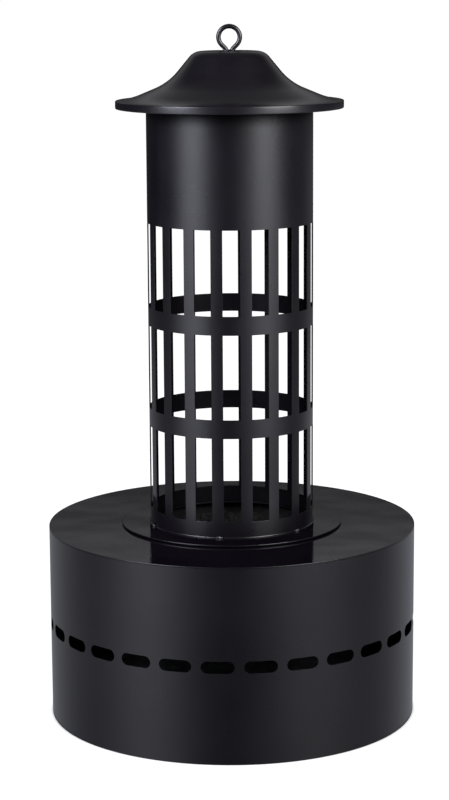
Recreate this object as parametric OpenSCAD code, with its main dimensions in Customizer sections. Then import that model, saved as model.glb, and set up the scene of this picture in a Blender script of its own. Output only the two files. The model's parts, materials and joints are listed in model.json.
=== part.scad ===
// Gas-burning chiminea: a slotted lantern tower with a bell-shaped cap, standing on a round drum that
// holds a bowl of lava rocks over a ring burner. The controls and the gas inlet are at the back, on +Y.
// The frame is +Z up, with its origin on the floor at the drum's centre. Angles turn about +Z from the
// front, -Y, towards +X.

/* [Drum] */
// Outside diameter of the drum
drum_d = 400; // [390:5:420]
// Height of the drum, with its top plate
drum_h = 210; // [205:1:220]
// Thickness of the drum's steel sheet
drum_sheet = 1.2; // [1:0.1:1.5]
// Number of air slots round the drum
slot_count = 28; // [24:1:29]
// Length of an air slot
slot_length = 35; // [28:1:36]
// Height of an air slot
slot_height = 13; // [10:1:15]
// Turn of the first air slot from the front
slot_turn = -4.4; // [-6:0.1:6]
// Diameter of the opening in the drum's top
top_opening_d = 200; // [198:1:204]

/* [Tower] */
// Outside diameter of the tower's tube
tower_d = 178; // [175:1:180]
// Thickness of the tower's sheet
tower_sheet = 1.2; // [1:0.1:1.5]
// Number of bars, and of windows, round the tower
bar_count = 18; // [16:1:20]
// Number of rows of windows
row_count = 3; // [2:1:3]
// Width of a bar between two windows
bar_width = 12.3; // [10:0.1:14]
// Height of a window
window_height = 90; // [80:1:92]
// Height of the plain band between two rows
band_height = 20; // [15:1:20]
// Height of the plain ring below the first row
foot_band = 17.4; // [15:0.1:20]
// Turn of the first bar from the front
bar_turn = 10.6; // [0:0.1:20]
// Diameter of the plate under the tower
plate_d = 240; // [235:1:250]
// Diameter of the hole in that plate
plate_hole_d = 166; // [160:1:168]
// Thickness of that plate
plate_t = 1.6; // [1.5:0.1:2]

/* [Cap] */
// Diameter of the cap's brim
brim_d = 243; // [242:1:248]
// Height of the brim's turned-down rim
rim_height = 8.2; // [8:0.1:8.5]
// Thickness of the cap's sheet
cap_sheet = 1; // [0.8:0.1:1.2]
// Height of the brim's lower edge above the floor
brim_z = 661; // [661:1:662]
// Diameter of the rod of the lifting ring
ring_rod_d = 5; // [4.5:0.1:5.2]
// Outside diameter of the lifting ring
ring_d = 27.6; // [26:0.1:30]

/* [Burner] */
// Depth of the fire bowl below the drum's top
bowl_depth = 55; // [54:1:58]
// Diameter of the burner ring, between the centres of its tube
burner_d = 110; // [108:1:112]
// Largest diameter of a lava rock
rock_d = 25; // [22:0.5:25.2]

/* [Controls] */
// Height of the knob's axis above the floor
control_z = 55; // [54:1:56]
// Diameter of the control knob
knob_d = 40; // [36:1:42]
// Turn of the ignition button from the front
button_turn = 162; // [160:1:163]
// Turn of the gas inlet from the front
inlet_turn = 196; // [196:1:200]
// Diameter of the gas inlet's spigot
spigot_d = 8; // [6:1:10]
// Length of the gas inlet's spigot
spigot_length = 20; // [15:1:25]

/* [Hidden] */

$fn = 96;
eps = 0.01;          // overlap that keeps a cut clean
big = 60;            // reach of a cutting shape past what it cuts
fit_gap = 0.05;      // radial clearance between a shaft and its bore
steel_black = "#1d1d20";
brass = "#b08d4c";
zinc = "#9a9a9a";
rubber_black = "#141414";

drum_r = drum_d / 2;
drum_in = drum_r - drum_sheet;
top_t = 1.5;                            // thickness of the drum's top plate
slot_z = drum_h / 2 - 0.7;
base_z = 4;                             // underside of the raised base plate
base_t = 1.2;
base_top = base_z + base_t;

bowl_t = 1;
bowl_in = top_opening_d / 2 - 0.5 - bowl_t;   // inside radius of the bowl's mouth
bowl_floor_in = bowl_in - 6;                  // inside radius at its floor
bowl_floor = drum_h + bowl_t - bowl_depth;    // top of its floor
bowl_rim_r = top_opening_d / 2 + 11;

tower_r = tower_d / 2;
tower_in = tower_r - tower_sheet;
plate_z = drum_h + bowl_t;
tower_z = plate_z + plate_t;
row_z = tower_z + foot_band;
row_pitch = window_height + band_height;

// The cap's outline: a flat top, a round shoulder, a steep flank, a sweep into a shallow flare, and a lip.
brim_r = brim_d / 2;
cap_height = 59.8;
cap_flat_r = 29.7;
shoulder_r = 16.6;
flank_slope = 50.4;
flank_length = 19;
sweep_r = 64;
flare_slope = 22.5;
flare_length = 17.4;
lip_sweep_r = 86;
lip_slope = 6.9;
rim_corner = 1.8;
flank_top = [cap_flat_r + shoulder_r * sin(flank_slope), cap_height - shoulder_r * (1 - cos(flank_slope))];
flank_end = flank_top + flank_length * [cos(flank_slope), -sin(flank_slope)];
sweep_centre = flank_end + sweep_r * [sin(flank_slope), cos(flank_slope)];
flare_top = sweep_centre - sweep_r * [sin(flare_slope), cos(flare_slope)];
flare_end = flare_top + flare_length * [cos(flare_slope), -sin(flare_slope)];
lip_centre = flare_end + lip_sweep_r * [sin(flare_slope), cos(flare_slope)];
seat_gap = 0.1;                         // air left between the tube's top edge and the cap
tower_top = brim_z + flare_top[1] - (tower_r - flare_top[0]) * tan(flare_slope)
    - cap_sheet / cos(flare_slope) - seat_gap;

burner_z = bowl_floor + 14;
burner_tube_r = 7;
burner_wall = 1.2;
inlet_r = 12;                           // radius of the burner's threaded inlet
mixer_h = 42;
mixer_socket = 7;                       // depth of the mixer's socket for that inlet
mixer_z = bowl_floor - 52;              // bottom of the air mixer
inlet_end = mixer_z + mixer_h - mixer_socket;
pipe_r = 4;
pipe_z = mixer_z - 16;                  // height of the gas pipe's long run
pipe_bend = 12;

valve_y = 145;                          // centre of the valve's body
valve_size = [28, 34, 34];
valve_hole_r = 12;                      // hole in the drum that the valve's nose comes through
nose_end = 180;                         // end of the valve's threaded nose
nose_r = 8;
bracket_y = valve_y + valve_size[1] / 2;
bracket_t = 1.5;
bracket_width = 44;
bracket_screw_x = 14;                   // distance of each bracket screw from the valve's axis
bracket_hole_y = bracket_y - 18;
bracket_hole_r = 2.1;
spindle_r = 3;
push_travel = 4;
bezel_r = 28;
bezel_screw_r = 24;                     // distance of the bezel's screws from the knob's axis
bezel_face = drum_r + 3.5;
knob_back = bezel_face + push_travel + 0.5;
washer_y = 191;
inlet_back = drum_r - 16;               // inner end of the inlet fitting
inlet_thread_r = 7;
piezo_r = 9;
piezo_back = drum_r - 41;               // inner end of the ignition unit
button_r = 6.8;
electrode_r = 72;                       // distance of the electrode from the drum's axis
electrode_turn = 170;
electrode_foot = bowl_floor - 14;       // lower end of the electrode
probe_turn = 204;
probe_foot = bowl_floor - 16;           // lower end of the thermocouple's probe
wire_gap = 0.2;                         // air between a wire's end and what it reaches
rod_r = ring_rod_d / 2;
leg_x = rod_r + 0.3;                    // distance of a leg of the lifting ring from the cap's middle
knee_r = 6;                             // bend above each leg

// Points along an arc, from angle a0 to a1 in n steps.
function arc(centre, r, a0, a1, n) =
    [for (i = [0:n]) centre + r * [cos(a0 + (a1 - a0) * i / n), sin(a0 + (a1 - a0) * i / n)]];

// The cap's outline, moved in by d from its outer face.
function cap_outline(d) = concat(
    arc([cap_flat_r, cap_height - shoulder_r], shoulder_r - d, 90, 90 - flank_slope, 8),
    arc(sweep_centre, sweep_r + d, 270 - flank_slope, 270 - flare_slope, 10),
    arc(lip_centre, lip_sweep_r + d, 270 - flare_slope, 270 - lip_slope, 8)
);

// Where a point at this radius, turn and height lies.
function around(r, turn, z) = [r * sin(turn), -r * cos(turn), z];

// Puts local +Z along the outward normal at this turn and height, with its origin on the drum's axis.
module radial(turn, z) {
    rotate([0, 0, turn])
        translate([0, 0, z])
            rotate([90, 0, 0])
                children();
}

module tube(r_out, r_in, h) {
    difference() {
        cylinder(r = r_out, h = h);
        translate([0, 0, -eps])
            cylinder(r = r_in, h = h + 2 * eps);
    }
}

module hex(across, h) {
    cylinder(r = across / 2 / cos(30), h = h, $fn = 6);
}

module hex_nut(across, r_in, h) {
    difference() {
        hex(across, h);
        translate([0, 0, -eps])
            cylinder(r = r_in, h = h + 2 * eps);
    }
}

// The drum's solid, cut away from what is fitted against its outside. Its many sides keep it true.
module drum_solid() {
    translate([0, 0, control_z - big])
        cylinder(r = drum_r + eps, h = 2 * big, $fn = 720);
}

// A round-ended slot, long along local X, cut along local Z.
module obround(length, width, h) {
    run = length - width;
    translate([-run / 2, -width / 2, 0])
        cube([run, width, h]);
    for (side = [-1, 1])
        translate([side * run / 2, 0, 0])
            cylinder(d = width, h = h);
}

// Points along a cubic curve that leaves p[0] towards p[1] and reaches p[3] from p[2].
function curve(p, n) = [for (i = [0:n]) let (t = i / n, u = 1 - t)
    u * u * u * p[0] + 3 * u * u * t * p[1] + 3 * u * t * t * p[2] + t * t * t * p[3]];

// A round rod swept along a list of points, with flat sides. across is a direction that no part of
// the path runs along.
module swept_rod(path, r, sides, across) {
    last = len(path) - 1;
    function along(i) = path[min(i + 1, last)] - path[max(i - 1, 0)];
    function unit(v) = v / norm(v);
    function rim(i) = let (u = unit(cross(along(i), across)), v = cross(unit(along(i)), u))
        [for (k = [0:sides - 1]) path[i] + r * (u * cos(k * 360 / sides) + v * sin(k * 360 / sides))];
    walls = [for (i = [0:last - 1], k = [0:sides - 1])
        let (here = i * sides, next = (k + 1) % sides)
        [here + k, here + sides + k, here + sides + next, here + next]];
    ends = [
        [for (k = [0:sides - 1]) k],
        [for (k = [sides - 1:-1:0]) last * sides + k]
    ];
    polyhedron([for (i = [0:last]) each rim(i)], concat(walls, ends));
}

// The cut face of a pipe.
module pipe_section() {
    difference() {
        circle(r = pipe_r);
        circle(r = pipe_r - 1);
    }
}

// The two places, either side of the knob, where screws hold the bezel to the drum.
module bezel_screw_places() {
    for (angle = [22.5, 202.5])
        radial(180, control_z)
            translate(bezel_screw_r * [cos(angle), sin(angle), 0])
                children();
}

module pan_screw(head_r, head_h, shank_r, length) {
    cylinder(r = head_r, h = head_h);
    translate([0, 0, -length])
        cylinder(r = shank_r, h = length + eps);
}

// --- Drum ---

module drum_shell() {
    color(steel_black)
        difference() {
            tube(drum_r, drum_in, drum_h - top_t);
            for (i = [0:slot_count - 1])
                radial(slot_turn + i * 360 / slot_count, slot_z)
                    translate([0, 0, drum_r - 10])
                        obround(slot_length, slot_height, 20);
            radial(180, control_z)
                translate([0, 0, drum_r - 10])
                    cylinder(r = valve_hole_r, h = 20);
            bezel_screw_places()
                translate([0, 0, drum_r - 10])
                    cylinder(r = 1.6, h = 20);
            radial(button_turn, control_z)
                translate([0, 0, drum_r - 10])
                    cylinder(r = piezo_r + 0.2, h = 20);
            radial(inlet_turn, control_z)
                translate([0, 0, drum_r - 10])
                    cylinder(r = inlet_thread_r + 0.2, h = 20);
        }
}

module drum_top() {
    color(steel_black)
        translate([0, 0, drum_h - top_t])
            tube(drum_r, top_opening_d / 2, top_t);
}

module drum_base() {
    rim_r = drum_in - 0.1;
    color(zinc)
        difference() {
            union() {
                translate([0, 0, base_z])
                    cylinder(r = rim_r, h = base_t);
                translate([0, 0, base_z])
                    tube(rim_r, rim_r - base_t, 14);
            }
            for (i = [0:11])
                rotate([0, 0, 15 + i * 30])
                    translate([150, 0, 0])
                        cylinder(r = 8, h = 10);
            for (i = [0:5])
                rotate([0, 0, i * 60])
                    translate([80, 0, 0])
                        cylinder(r = 8, h = 10);
            for (side = [-1, 1])
                translate([side * bracket_screw_x, bracket_hole_y, 0])
                    cylinder(r = bracket_hole_r, h = 10);
        }
}

// --- Fire bowl, rocks and burner ---

module fire_bowl() {
    rim_z = drum_h;
    corner = 8;
    floor_z = bowl_floor - bowl_t;
    color(steel_black)
        difference() {
            rotate_extrude()
                polygon(concat(
                    [[0, floor_z]],
                    arc([bowl_floor_in - corner + bowl_t, floor_z + corner], corner, -90, -8, 6),
                    [
                        [bowl_in + bowl_t, rim_z],
                        [bowl_rim_r, rim_z],
                        [bowl_rim_r, rim_z + bowl_t],
                        [bowl_in, rim_z + bowl_t]
                    ],
                    arc([bowl_floor_in - corner + bowl_t, floor_z + corner], corner - bowl_t, -8, -90, 6),
                    [[0, bowl_floor]]
                ));
            translate([0, 0, floor_z - 1])
                cylinder(r = inlet_r + 0.2, h = 4);
            for (i = [0:5])
                rotate([0, 0, 30 + i * 60])
                    translate([66, 0, floor_z - 1])
                        cylinder(r = 2.5, h = 4);
            translate(around(electrode_r, electrode_turn, floor_z - 1))
                cylinder(r = 3.2, h = 4);
            translate(around(electrode_r, probe_turn, floor_z - 1))
                cylinder(r = 2.7, h = 4);
        }
}

// One rough rock: a twenty-sided solid whose corners lie at uneven distances from its middle.
module rock(d, seed) {
    spread = rands(0.8, 1, 12, seed);
    turn = rands(0, 72, 1, seed + 0.5)[0];
    ring_slope = 26.565;
    function corner(k, slope, a) =
        d / 2 * spread[k] * [cos(slope) * cos(a), cos(slope) * sin(a), sin(slope)];
    points = concat(
        [[0, 0, d / 2 * spread[0]]],
        [for (i = [0:4]) corner(1 + i, ring_slope, turn + i * 72)],
        [for (i = [0:4]) corner(6 + i, -ring_slope, turn + 36 + i * 72)],
        [[0, 0, -d / 2 * spread[11]]]
    );
    faces = concat(
        [for (i = [0:4]) [0, 1 + (i + 1) % 5, 1 + i]],
        [for (i = [0:4]) [1 + i, 1 + (i + 1) % 5, 6 + i]],
        [for (i = [0:4]) [1 + (i + 1) % 5, 6 + (i + 1) % 5, 6 + i]],
        [for (i = [0:4]) [11, 6 + i, 6 + (i + 1) % 5]]
    );
    polyhedron(points, faces);
}

module lava_rocks() {
    pitch = rock_d + 1.4;
    bed_r = bowl_in - rock_d / 2 - 4;
    top_z = drum_h - 14;
    lower_z = bowl_floor + rock_d / 2 + 2;
    color("#3a3836") {
        for (row = [-4:4], col = [-4:4]) {
            x = col * pitch + (row % 2 == 0 ? 0 : pitch / 2);
            y = row * pitch * cos(30);
            r = norm([x, y]);
            if (r < bed_r)
                translate([x, y, top_z + 5 * (1 - pow(r / bed_r, 2))])
                    rock(rock_d, 10 + row * 20 + col);
        }
        for (i = [0:15])
            if (abs(i * 22.5 - 186) > 40)
                translate(around(78, i * 22.5, lower_z))
                    rock(rock_d - 1, 300 + i);
        for (turn = [30, -30, 150, 210])
            translate(around(33, turn, lower_z))
                rock(rock_d - 1, 400 + turn);
    }
}

module burner() {
    ring_r = burner_d / 2;
    inner_r = burner_tube_r - burner_wall;
    arm_r = 6;
    color(zinc)
        difference() {
            union() {
                translate([0, 0, burner_z])
                    rotate_extrude()
                        translate([ring_r, 0])
                            circle(r = burner_tube_r);
                translate([-ring_r, 0, burner_z])
                    rotate([0, 90, 0])
                        cylinder(r = arm_r, h = 2 * ring_r);
                translate([0, 0, inlet_end])
                    cylinder(r = inlet_r, h = burner_z - inlet_end);
                translate([0, 0, bowl_floor])
                    cylinder(r = inlet_r + 5, h = 2);
            }
            translate([0, 0, burner_z])
                rotate_extrude()
                    translate([ring_r, 0])
                        circle(r = inner_r);
            translate([-ring_r, 0, burner_z])
                rotate([0, 90, 0])
                    cylinder(r = arm_r - burner_wall, h = 2 * ring_r);
            translate([0, 0, inlet_end - eps])
                cylinder(r = inlet_r - 3, h = burner_z - inlet_end - 1);
            for (i = [0:23])
                rotate([0, 0, 7.5 + i * 15])
                    translate([ring_r, 0, burner_z])
                        cylinder(r = 0.9, h = 10);
        }
}

module burner_locknut() {
    color(zinc)
        translate([0, 0, bowl_floor - bowl_t - 7])
            hex_nut(34, inlet_r + fit_gap, 7);
}

module air_mixer() {
    body_r = 15;
    color(zinc)
        translate([0, 0, mixer_z])
            difference() {
                cylinder(r = body_r, h = mixer_h);
                translate([0, 0, mixer_h - mixer_socket])
                    cylinder(r = inlet_r + fit_gap, h = 10);
                translate([0, 0, 9])
                    cylinder(r = 9, h = 30);
                translate([0, 0, -1])
                    cylinder(r = 4 + fit_gap, h = 12);
                for (turn = [0, 90])
                    rotate([90, 0, turn])
                        translate([0, 20, -20])
                            cylinder(r = 5, h = 40);
            }
}

module gas_jet() {
    color(brass)
        translate([0, 0, mixer_z])
            difference() {
                union() {
                    translate([0, 0, -6])
                        hex(12, 6);
                    cylinder(r = 4, h = 9);
                    translate([0, 0, 9])
                        cylinder(r1 = 4, r2 = 2, h = 5);
                    translate([0, 0, -11])
                        cylinder(r = 3.5, h = 6);
                }
                translate([0, 0, -12])
                    cylinder(r = 1.8, h = 22);
                translate([0, 0, 9])
                    cylinder(r = 0.5, h = 6);
            }
}

module jet_elbow() {
    body_r = 7;
    color(brass)
        difference() {
            union() {
                translate([0, 0, pipe_z - body_r])
                    cylinder(r = body_r, h = mixer_z - 6 - pipe_z + body_r);
                translate([0, 0, pipe_z])
                    rotate([-90, 0, 0])
                        cylinder(r = body_r - 1, h = 20);
            }
            translate([0, 0, pipe_z])
                cylinder(r = 3.5 + fit_gap, h = 20);
            translate([0, 9, pipe_z])
                rotate([-90, 0, 0])
                    cylinder(r = pipe_r + fit_gap, h = 12);
            translate([0, -2, pipe_z])
                rotate([-90, 0, 0])
                    cylinder(r = 2.5, h = 12);
        }
}

// The gas pipe: a long level run, a quarter bend, and a short drop into the top of the valve.
module gas_pipe() {
    bend_y = valve_y - pipe_bend;
    drop_z = pipe_z - pipe_bend;
    color(zinc) {
        translate([0, 10, pipe_z])
            rotate([-90, 0, 0])
                linear_extrude(bend_y - 10)
                    pipe_section();
        translate([0, bend_y, drop_z])
            rotate([90, 0, 90])
                rotate_extrude(angle = 90)
                    translate([pipe_bend, 0])
                        pipe_section();
        translate([0, valve_y, control_z + 9])
            linear_extrude(drop_z - control_z - 9)
                pipe_section();
    }
}

// --- Valve, inlet and ignition ---

module gas_valve() {
    color(brass)
        difference() {
            union() {
                translate([-valve_size[0] / 2, valve_y - valve_size[1] / 2, control_z - valve_size[2] / 2])
                    cube(valve_size);
                translate([0, valve_y + valve_size[1] / 2 - 1, control_z])
                    rotate([-90, 0, 0])
                        cylinder(r = nose_r, h = nose_end - valve_y - valve_size[1] / 2 + 1);
            }
            translate([0, valve_y - 4, control_z])
                rotate([-90, 0, 0])
                    cylinder(r = spindle_r + fit_gap, h = big);
            translate([0, valve_y, control_z + 9 - eps])
                cylinder(r = pipe_r + fit_gap, h = 20);
            translate([-valve_size[0] / 2 - 1, valve_y, control_z])
                rotate([0, 90, 0])
                    cylinder(r = pipe_r + fit_gap, h = 9);
        }
}

module valve_nut() {
    color(zinc)
        translate([0, bracket_y + bracket_t, control_z])
            rotate([-90, 0, 0])
                hex_nut(24, nose_r + fit_gap, 5);
}

module valve_bracket() {
    foot = 30;
    color(zinc)
        difference() {
            union() {
                translate([-bracket_width / 2, bracket_y, base_top])
                    cube([bracket_width, bracket_t, control_z + 20 - base_top]);
                translate([-bracket_width / 2, bracket_y - foot, base_top])
                    cube([bracket_width, foot + eps, bracket_t]);
            }
            translate([0, bracket_y - 1, control_z])
                rotate([-90, 0, 0])
                    cylinder(r = nose_r + 0.2, h = 4);
            for (side = [-1, 1])
                translate([side * bracket_screw_x, bracket_hole_y, 0])
                    cylinder(r = bracket_hole_r, h = 10);
        }
}

module bracket_screws() {
    color(zinc)
        for (side = [-1, 1])
            translate([side * bracket_screw_x, bracket_hole_y, base_top + bracket_t])
                pan_screw(4, 2.6, 2, 6);
}

module bracket_nuts() {
    color(zinc)
        for (side = [-1, 1])
            translate([side * bracket_screw_x, bracket_hole_y, base_z - 3])
                hex_nut(7, 2 + fit_gap, 3);
}

// The supply pipe leaves the valve's side, bends outwards and ends in the back of the inlet fitting.
module supply_pipe() {
    bend_r = 14;
    bend = 270 - inlet_turn;
    corner_r = valve_y / -cos(inlet_turn);
    corner_x = corner_r * sin(inlet_turn);
    centre = [corner_x + bend_r * tan(bend / 2), valve_y + bend_r];
    path = concat(
        [[-valve_size[0] / 2 + 8, valve_y, control_z]],
        [for (p = arc(centre, bend_r, -90, -90 - bend, 10)) [p[0], p[1], control_z]],
        [around(inlet_back + 8, inlet_turn, control_z)]
    );
    color(zinc)
        swept_rod(path, pipe_r, 16, [0, 0, 1]);
}

module gas_inlet() {
    color(brass)
        difference() {
            radial(inlet_turn, control_z) {
                translate([0, 0, drum_r + 5 - eps])
                    cylinder(d = spigot_d, h = spigot_length + eps);
                translate([0, 0, drum_r - 4])
                    hex(19, 9);
                translate([0, 0, inlet_back])
                    cylinder(r = inlet_thread_r, h = 14);
            }
            difference() {
                drum_solid();
                radial(inlet_turn, control_z)
                    cylinder(r = inlet_thread_r, h = drum_r + 5);
            }
            radial(inlet_turn, control_z) {
                translate([0, 0, inlet_back - 1])
                    cylinder(r = pipe_r + fit_gap, h = 9);
                translate([0, 0, inlet_back])
                    cylinder(d = spigot_d - 3, h = big);
            }
        }
}

module inlet_nut() {
    color(zinc)
        radial(inlet_turn, control_z)
            translate([0, 0, drum_in - 5.5])
                hex_nut(19, inlet_thread_r + fit_gap, 5);
}

module igniter_electrode() {
    color("#e8e4da")
        translate(around(electrode_r, electrode_turn, electrode_foot)) {
            cylinder(r = 3, h = 32);
            translate([0, 0, 32])
                cylinder(r = 1, h = 7);
        }
}

module igniter_lead() {
    top = around(electrode_r, electrode_turn, electrode_foot - wire_gap);
    end = around(piezo_back - wire_gap, button_turn, control_z);
    inward = around(piezo_back - 40, button_turn, control_z);
    color(rubber_black)
        swept_rod(curve([top, top - [0, 0, 50], inward, end], 16), 1.4, 8, [1, 0, 0.01]);
}

module piezo_igniter() {
    color(rubber_black)
        difference() {
            union() {
                radial(button_turn, control_z)
                    translate([0, 0, piezo_back])
                        cylinder(r = piezo_r, h = drum_r + 3 - piezo_back);
                difference() {
                    radial(button_turn, control_z)
                        translate([0, 0, drum_r - 4])
                            cylinder(r = 12, h = 7);
                    drum_solid();
                }
            }
            radial(button_turn, control_z)
                translate([0, 0, drum_r - 16])
                    cylinder(r = button_r + 0.08, h = 30);
        }
}

module igniter_nut() {
    color(rubber_black)
        radial(button_turn, control_z)
            translate([0, 0, drum_in - 6])
                hex_nut(24, piezo_r + fit_gap, 5);
}

module igniter_button() {
    color("#8e1a14")
        radial(button_turn, control_z) {
            translate([0, 0, drum_r - 10])
                cylinder(r = button_r, h = 18);
            translate([0, 0, drum_r + 8 - eps])
                cylinder(r1 = button_r, r2 = button_r - 1, h = 1);
        }
}

module thermocouple() {
    start = around(electrode_r, probe_turn, probe_foot);
    valve_end = [-9, valve_y - 10, control_z + valve_size[2] / 2 + wire_gap];
    color("#a06a3c") {
        translate(start)
            cylinder(r = 2.5, h = 38);
        swept_rod(
            curve([start + [0, 0, 0.5], start - [0, 0, 45], valve_end + [0, 0, 40], valve_end], 16),
            1.2, 8, [1, 0, 0.01]
        );
    }
}

module control_bezel() {
    tick_count = 5;
    color(zinc)
        difference() {
            union() {
                radial(180, control_z)
                    translate([0, 0, drum_r - 4])
                        cylinder(r = bezel_r, h = bezel_face - drum_r + 4);
                for (i = [0:tick_count - 1])
                    radial(180, control_z)
                        rotate([0, 0, i * 180 / (tick_count - 1)])
                            translate([-0.5, 22.5, bezel_face - 0.5])
                                cube([1, 3, 0.8]);
            }
            drum_solid();
            radial(180, control_z)
                translate([0, 0, drum_r - 4])
                    cylinder(r = 9, h = 20);
            bezel_screw_places()
                translate([0, 0, drum_r - 4])
                    cylinder(r = 1.6, h = 20);
        }
}

module bezel_screws() {
    color(zinc)
        bezel_screw_places()
            translate([0, 0, bezel_face])
                pan_screw(2.8, 1.6, 1.5, 8);
}

// The valve's spindle, with a flat at its outer end for the knob and a shoulder outside the washer.
module valve_spindle() {
    start = valve_y + 6;
    color(brass)
        translate([0, start, control_z])
            rotate([-90, 0, 0])
                difference() {
                    union() {
                        cylinder(r = spindle_r, h = knob_back + 12 - start);
                        translate([0, 0, washer_y + 1.05 - start])
                            cylinder(r = spindle_r + 1.5, h = 2);
                    }
                    translate([-big / 2, -spindle_r - 0.5 - eps, knob_back - start])
                        cube([big, 1.5, big]);
                }
}

module control_knob() {
    knob_r = knob_d / 2;
    skirt_h = 8;
    grip_h = 14;
    color(rubber_black)
        translate([0, knob_back, control_z])
            rotate([-90, 0, 0])
                difference() {
                    union() {
                        cylinder(r = knob_r, h = skirt_h);
                        intersection() {
                            translate([0, 0, skirt_h - eps])
                                cylinder(r1 = knob_r - 2, r2 = knob_r - 4, h = grip_h);
                            translate([-5, -knob_r, skirt_h - eps])
                                cube([10, knob_d, grip_h]);
                        }
                    }
                    difference() {
                        translate([0, 0, -1])
                            cylinder(r = spindle_r + fit_gap, h = 14);
                        translate([-big / 2, -spindle_r - 0.5 - fit_gap, -2])
                            cube([big, 1.5, 20]);
                    }
                    translate([-0.75, -knob_r + 4, skirt_h + grip_h - 1])
                        cube([1.5, 8, 2]);
                }
}

module spindle_washer() {
    color(zinc)
        translate([0, washer_y, control_z])
            rotate([-90, 0, 0])
                tube(7, spindle_r + fit_gap, 1);
}

// A coil of round wire, drawn as a run of rings that are joined from one to the next.
module return_spring() {
    coil_r = 5.2;
    wire_r = 0.5;
    turns = 5;
    steps = 20;
    sides = 8;
    count = turns * steps;
    run = washer_y - nose_end - 2 * wire_r - 0.2;   // between the wire's two end rings
    function coil_point(i, k) = let (
        a = i * 360 / steps,
        r = coil_r + wire_r * cos(k * 360 / sides)
    ) [r * cos(a), r * sin(a), run * i / count + wire_r * sin(k * 360 / sides)];
    points = [for (i = [0:count], k = [0:sides - 1]) coil_point(i, k)];
    walls = [for (i = [0:count - 1], k = [0:sides - 1])
        [i * sides + k, i * sides + (k + 1) % sides,
         (i + 1) * sides + (k + 1) % sides, (i + 1) * sides + k]];
    ends = [
        [for (k = [sides - 1:-1:0]) k],
        [for (k = [0:sides - 1]) count * sides + k]
    ];
    color(zinc)
        translate([0, nose_end + wire_r + 0.1, control_z])
            rotate([-90, 0, 0])
                polyhedron(points, concat(walls, ends));
}

// --- Lantern tower ---

module tower_tube() {
    pitch = 360 / bar_count;
    window_width = PI * (tower_d - tower_sheet) / bar_count - bar_width;
    color(steel_black)
        difference() {
            translate([0, 0, tower_z])
                tube(tower_r, tower_in, tower_top - tower_z);
            for (row = [0:row_count - 1], i = [0:bar_count - 1])
                radial(bar_turn + (i + 0.5) * pitch, row_z + row * row_pitch)
                    translate([-window_width / 2, 0, tower_r - 6])
                        cube([window_width, window_height, 12]);
        }
}

module tower_plate() {
    color(steel_black)
        translate([0, 0, plate_z])
            tube(plate_d / 2, plate_hole_d / 2, plate_t);
}

module tack_welds() {
    bead_r = 3;
    color(steel_black)
        for (i = [0:5])
            difference() {
                translate(around(tower_r + 0.8, -8.8 + i * 60, tower_z + 0.4))
                    sphere(r = bead_r);
                translate([0, 0, tower_z - big])
                    cylinder(r = tower_r + big, h = big);
                translate([0, 0, tower_z - 1])
                    cylinder(r = tower_r, h = 10);
            }
}

// --- Cap ---

module cap_shell() {
    outer = cap_outline(0);
    inner = cap_outline(cap_sheet);
    last = len(outer) - 1;
    color(steel_black)
        translate([0, 0, brim_z])
            difference() {
                rotate_extrude()
                    polygon(concat(
                        [[0, cap_height]],
                        outer,
                        arc([brim_r - rim_corner, rim_height - rim_corner], rim_corner, 85, 0, 4),
                        arc([brim_r - rim_corner, rim_corner], rim_corner, 0, -90, 4),
                        [[brim_r - rim_corner - 0.4, 0], [brim_r - rim_corner - 0.4, rim_height - 1.4]],
                        [for (i = [last:-1:0]) inner[i]],
                        [[0, cap_height - cap_sheet]]
                    ));
                translate([0, 0, cap_height - 3])
                    obround(2 * (leg_x + rod_r + 0.3), 2 * (rod_r + 0.1), 6);
            }
}

// Three strips that hang from the cap inside the tube and keep the cap in place.
module cap_lugs() {
    lug_t = 1.5;
    lug_w = 14;
    lug_r = tower_in - 0.8;
    under = cap_outline(cap_sheet + eps);
    color(steel_black)
        intersection() {
            for (i = [0:2])
                rotate([0, 0, 30 + i * 120])
                    translate([lug_r - lug_t, -lug_w / 2, tower_top - 24])
                        cube([lug_t, lug_w, 40]);
            translate([0, 0, brim_z])
                rotate_extrude()
                    polygon(concat(
                        [[0, -40], [0, cap_height - cap_sheet - eps]],
                        under,
                        [[under[len(under) - 1][0], -40]]
                    ));
        }
}

// A rod bent into a loop, whose two legs close to a V and go down side by side through the cap.
// leg_x is the distance of a leg from the middle, and knee_r the radius of the bend above it.
module ring_rod(r) {
    cap_top = brim_z + cap_height;
    mean_r = ring_d / 2 - rod_r;
    straight = mean_r - (leg_x + (1 - cos(45)) * knee_r) / sin(45);
    knee_z = cap_top - 1.2;
    centre_z = knee_z + (knee_r + straight + mean_r) * sin(45);
    leg_end = cap_top - cap_sheet - 3;
    half = concat(
        [[leg_x, leg_end]],
        arc([leg_x + knee_r, knee_z], knee_r, 180, 135, 4),
        arc([0, centre_z], mean_r, -45, 90, 12)
    );
    last = len(half) - 1;
    path = concat(half, [for (i = [last - 1:-1:0]) [-half[i][0], half[i][1]]]);
    swept_rod([for (p = path) [p[0], 0, p[1]]], r, 16, [0, 1, 0]);
}

module lifting_ring() {
    color(steel_black)
        ring_rod(rod_r);
}

// The bead of weld round the ring's legs, on top of the cap.
module ring_weld() {
    color(steel_black)
        difference() {
            translate([0, 0, brim_z + cap_height])
                cylinder(r1 = 7.6, r2 = 6.6, h = 1.6);
            ring_rod(rod_r + eps / 2);
        }
}

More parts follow.
